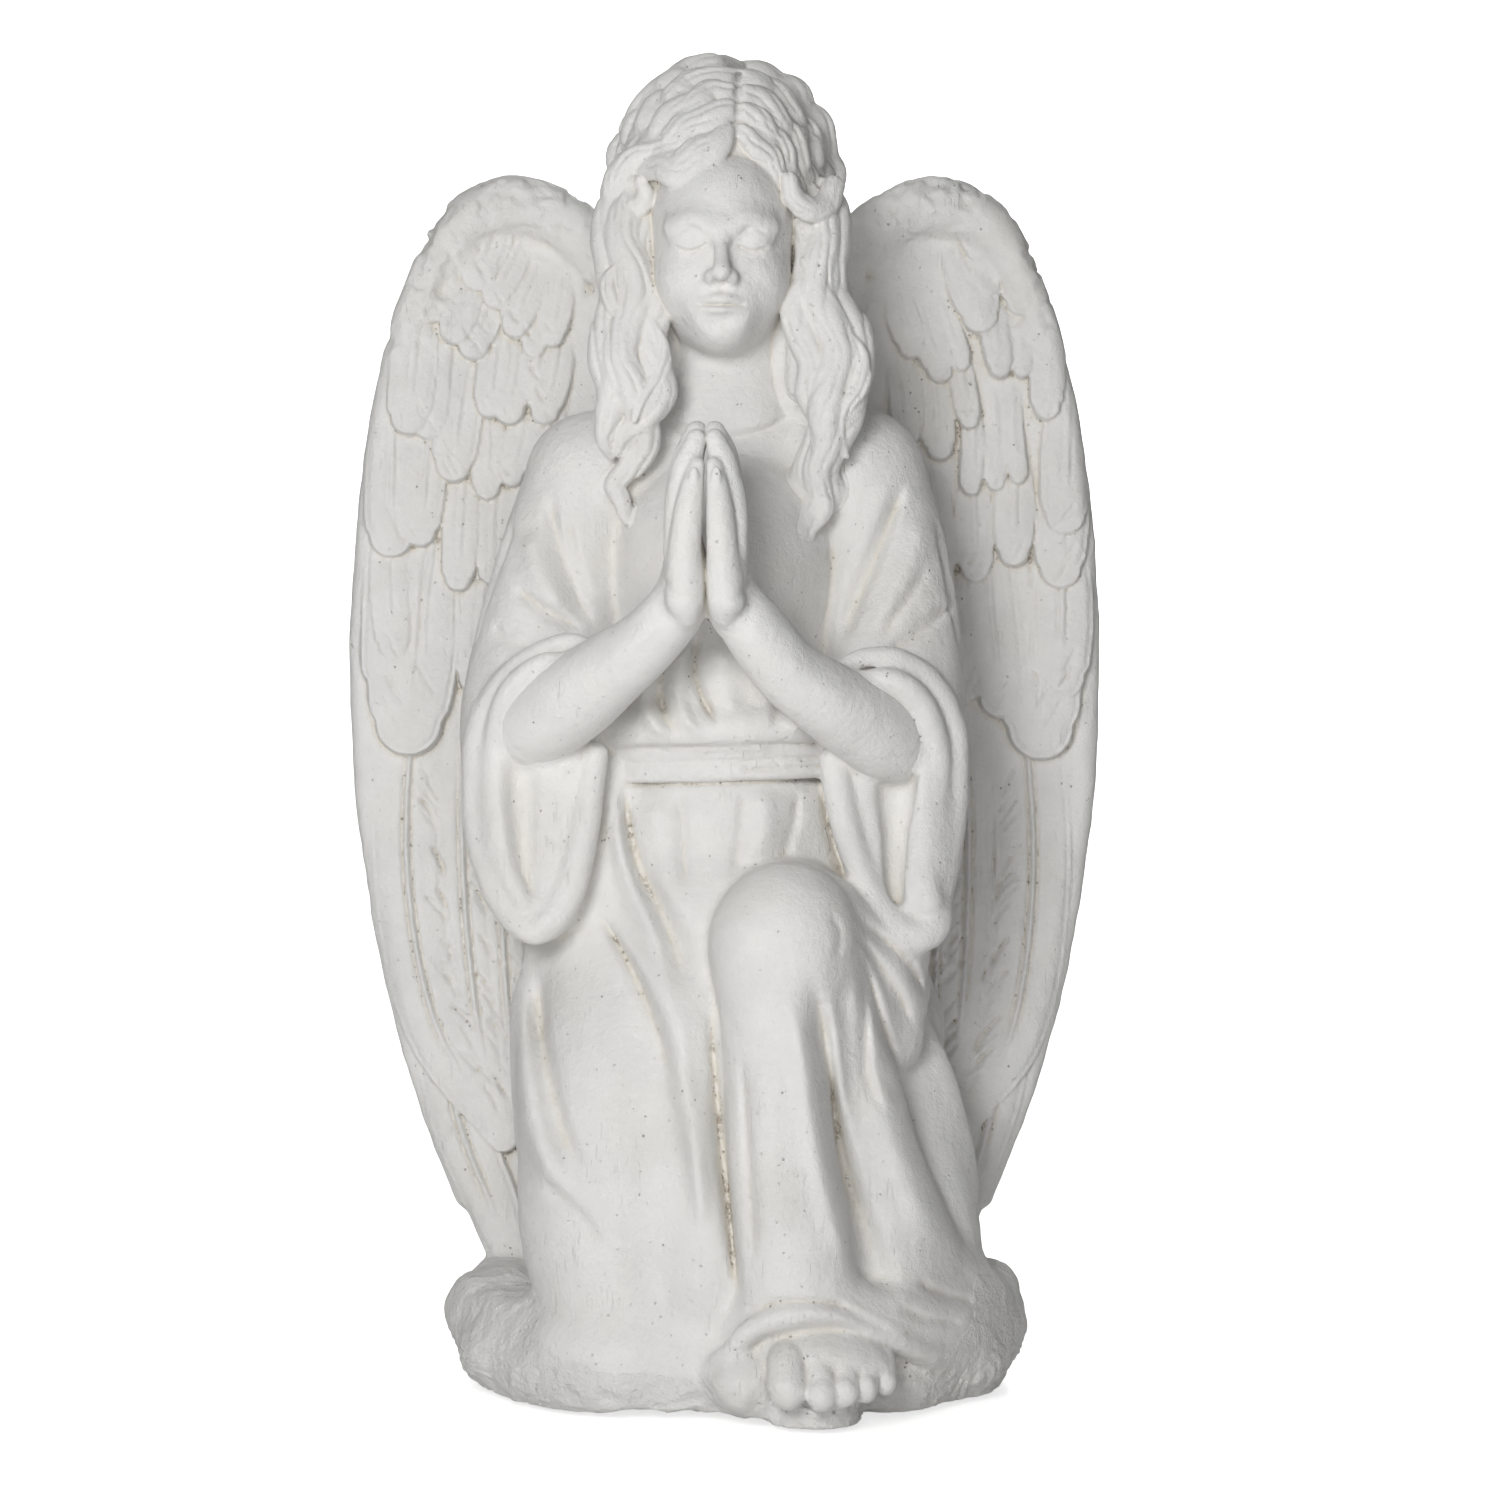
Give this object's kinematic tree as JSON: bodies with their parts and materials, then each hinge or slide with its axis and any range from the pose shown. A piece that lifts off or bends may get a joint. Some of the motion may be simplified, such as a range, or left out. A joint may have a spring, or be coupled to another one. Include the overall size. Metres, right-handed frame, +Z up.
{
  "type": "angel figurine",
  "caption": "Kneeling praying angel figurine in white cast resin, with wide sleeves, folded wings and a low rock base.",
  "frame": {"origin": "on the ground under the middle of the bounding box", "axes": "+Z up, the angel faces -Y, and its left side is at +X"},
  "size_m": [0.334, 0.2254, 0.5727],
  "materials": {
    "cast_resin": "matt off-white cast resin with warm dirt in the creases",
    "pin_steel": "plain bright steel rod",
    "felt": "dark grey felt"
  },
  "bodies": {
    "root": {"figure_body": "cast_resin", "head_and_hair": "cast_resin", "praying_hands": "cast_resin", "wing_left": "cast_resin", "wing_right": "cast_resin", "base_rock": "cast_resin", "base_plate": "cast_resin", "wing_pin_left_upper": "pin_steel", "wing_pin_left_lower": "pin_steel", "wing_pin_right_upper": "pin_steel", "wing_pin_right_lower": "pin_steel", "felt_pad_front_left": "felt", "felt_pad_front_right": "felt", "felt_pad_back_left": "felt", "felt_pad_back_right": "felt"}
  },
  "joints": []
}
